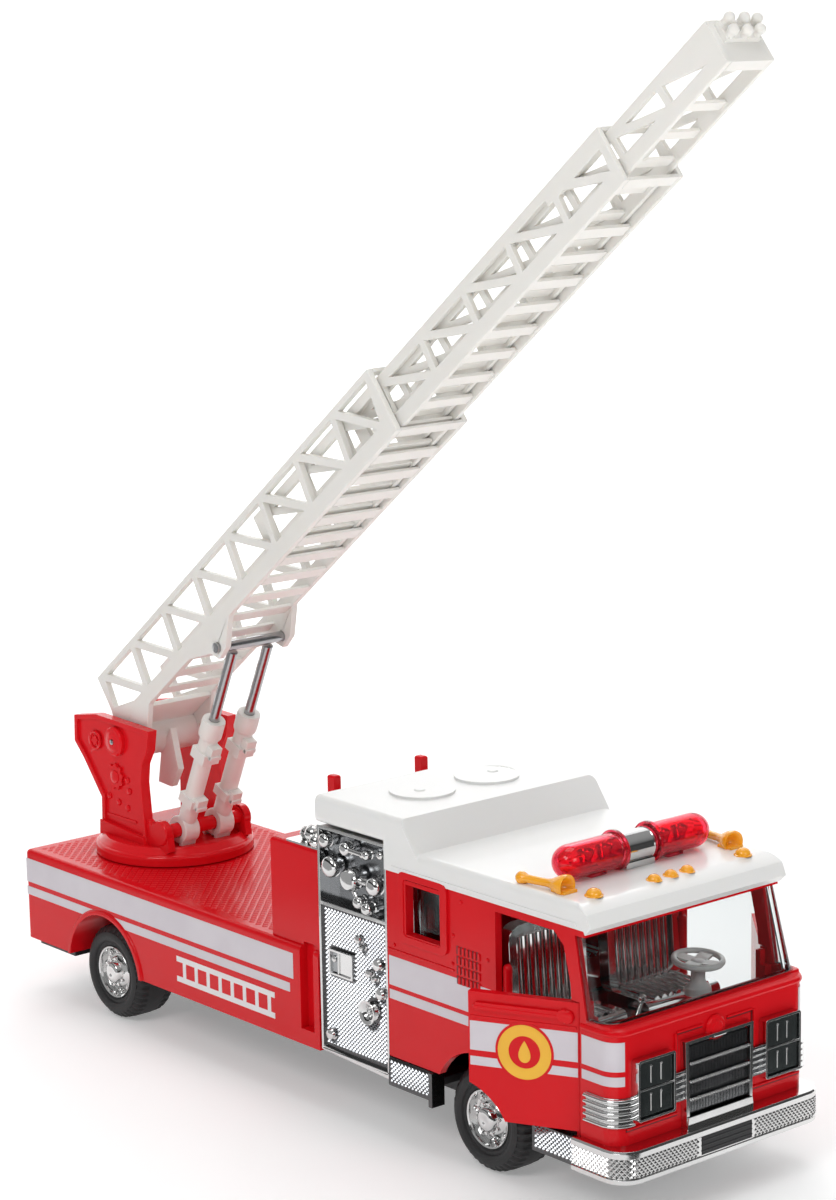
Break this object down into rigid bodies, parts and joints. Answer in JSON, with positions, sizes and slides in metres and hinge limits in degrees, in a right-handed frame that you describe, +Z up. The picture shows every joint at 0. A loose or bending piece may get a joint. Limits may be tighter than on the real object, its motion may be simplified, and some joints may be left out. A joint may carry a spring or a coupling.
{
  "type": "toy fire engine",
  "caption": "Die-cast style toy fire engine with a swivelling turntable, raising telescopic ladder, opening front doors and free-rolling wheels.",
  "frame": {"origin": "on the ground under the middle of the whole toy's bounding box, ladder raised and doors ajar as stored; the truck's own middle plane is at y = -2.22 mm", "axes": "+X to the front of the truck, +Z up, +Y to its left"},
  "size_m": [0.1996, 0.0739, 0.216],
  "materials": {
    "red_diecast": "gloss",
    "red_plastic": "gloss",
    "white_plastic": "satin",
    "ladder_plastic": "satin",
    "chrome_plastic": "polished",
    "steel": "polished",
    "tyre": "matte",
    "black_plastic": "matte",
    "dark_lens": "gloss",
    "clear_plastic": "clear",
    "red_lens": "clear",
    "amber_plastic": "gloss",
    "board": "matte"
  },
  "bodies": {
    "truck": {"chassis_plate": "black_plastic", "battery_cover": "black_plastic", "screws": "steel", "button_cells": "steel", "speaker": "black_plastic", "circuit_board": "board", "pullback_motor": "black_plastic", "rear_body": "red_diecast", "cab_shell": "red_diecast", "cab_roof": "white_plastic", "windshield": "clear_plastic", "crew_windows": "clear_plastic", "interior": "chrome_plastic", "steering_wheel": "white_plastic", "grille": "chrome_plastic", "headlight_bezels": "chrome_plastic", "headlight_lenses": "dark_lens", "front_bumper": "chrome_plastic", "bumper_insert": "black_plastic", "running_boards": "chrome_plastic", "pump_housing": "chrome_plastic", "pump_panel_right": "chrome_plastic", "pump_panel_left": "chrome_plastic", "pump_fittings": "chrome_plastic", "top_fittings": "chrome_plastic", "ladder_posts": "red_plastic", "lightbar_lens_right": "red_lens", "lightbar_lens_left": "red_lens", "lightbar_centre": "chrome_plastic", "lightbar_lamps": "chrome_plastic", "air_horns": "amber_plastic", "marker_lights": "amber_plastic"},
    "front_wheels": {"front_axle": "steel", "front_tyres": "tyre", "front_hubs": "chrome_plastic"},
    "rear_wheels": {"rear_axle": "steel", "rear_tyres": "tyre", "rear_hubs": "chrome_plastic", "drive_gear": "white_plastic"},
    "turntable": {"turntable_disc": "red_plastic", "turntable_yoke": "red_plastic", "turntable_clip": "black_plastic", "foot_rod": "red_plastic", "pivot_pin": "steel"},
    "ladder_base": {"ladder_base_sides": "ladder_plastic", "ladder_base_steps": "ladder_plastic", "ladder_base_root": "ladder_plastic", "ladder_crossbar": "steel"},
    "ladder_middle": {"ladder_middle_sides": "ladder_plastic", "ladder_middle_steps": "ladder_plastic"},
    "ladder_tip": {"ladder_tip_sides": "ladder_plastic", "ladder_tip_steps": "ladder_plastic", "tip_nozzles": "ladder_plastic"},
    "lift_cylinders": {"lift_cylinder_right": "ladder_plastic", "lift_cylinder_left": "ladder_plastic"},
    "lift_rods": {"lift_rods": "steel"},
    "door_right": {"door_right": "red_diecast"},
    "door_left": {"door_left": "red_diecast"},
    "power_switch": {"power_switch": "black_plastic"}
  },
  "joints": [
    {"name": "front_wheels_roll", "type": "hinge", "parent": "truck", "child": "front_wheels", "pos_m": [0.05418, -0.00222, 0.0105], "axis": [0, 1, 0], "continuous": true},
    {"name": "rear_wheels_roll", "type": "hinge", "parent": "truck", "child": "rear_wheels", "pos_m": [-0.06932, -0.00222, 0.0105], "axis": [0, 1, 0], "continuous": true},
    {"name": "turntable_swivel", "type": "hinge", "parent": "truck", "child": "turntable", "pos_m": [-0.07742, -0.00222, 0.033], "axis": [0, 0, 1], "continuous": true},
    {"name": "ladder_raise", "type": "hinge", "parent": "turntable", "child": "ladder_base", "pos_m": [-0.08262, -0.00222, 0.0583], "axis": [0, -1, 0], "range_deg": [-33.5, 12]},
    {"name": "ladder_middle_slide", "type": "slide", "parent": "ladder_base", "child": "ladder_middle", "axis": [0.7848, 0, 0.6198], "range_m": [-0.055, 0.012]},
    {"name": "ladder_tip_slide", "type": "slide", "parent": "ladder_middle", "child": "ladder_tip", "axis": [0.7848, 0, 0.6198], "range_m": [-0.026, 0.05]},
    {"name": "lift_cylinder_tilt", "type": "hinge", "parent": "turntable", "child": "lift_cylinders", "pos_m": [-0.06692, -0.00222, 0.0401], "axis": [0, -1, 0], "range_deg": [-29, 10.6]},
    {"name": "lift_rod_slide", "type": "slide", "parent": "lift_cylinders", "child": "lift_rods", "axis": [0.4167, 0, 0.909], "range_m": [-0.0143, 0.0052]},
    {"name": "door_right_swing", "type": "hinge", "parent": "truck", "child": "door_right", "pos_m": [0.08078, -0.02657, 0.028], "axis": [0, 0, 1], "range_deg": [-27, 33]},
    {"name": "door_left_swing", "type": "hinge", "parent": "truck", "child": "door_left", "pos_m": [0.08078, 0.02213, 0.028], "axis": [0, 0, -1], "range_deg": [-42, 18]},
    {"name": "power_switch_slide", "type": "slide", "parent": "truck", "child": "power_switch", "axis": [1, 0, 0], "range_m": [0, 0.0028]}
  ],
  "couplings": [
    {"joint": "lift_cylinder_tilt", "follows": "ladder_raise", "ratio": 0.86},
    {"joint": "lift_rod_slide", "follows": "ladder_raise", "m_per_rad": 0.024}
  ]
}
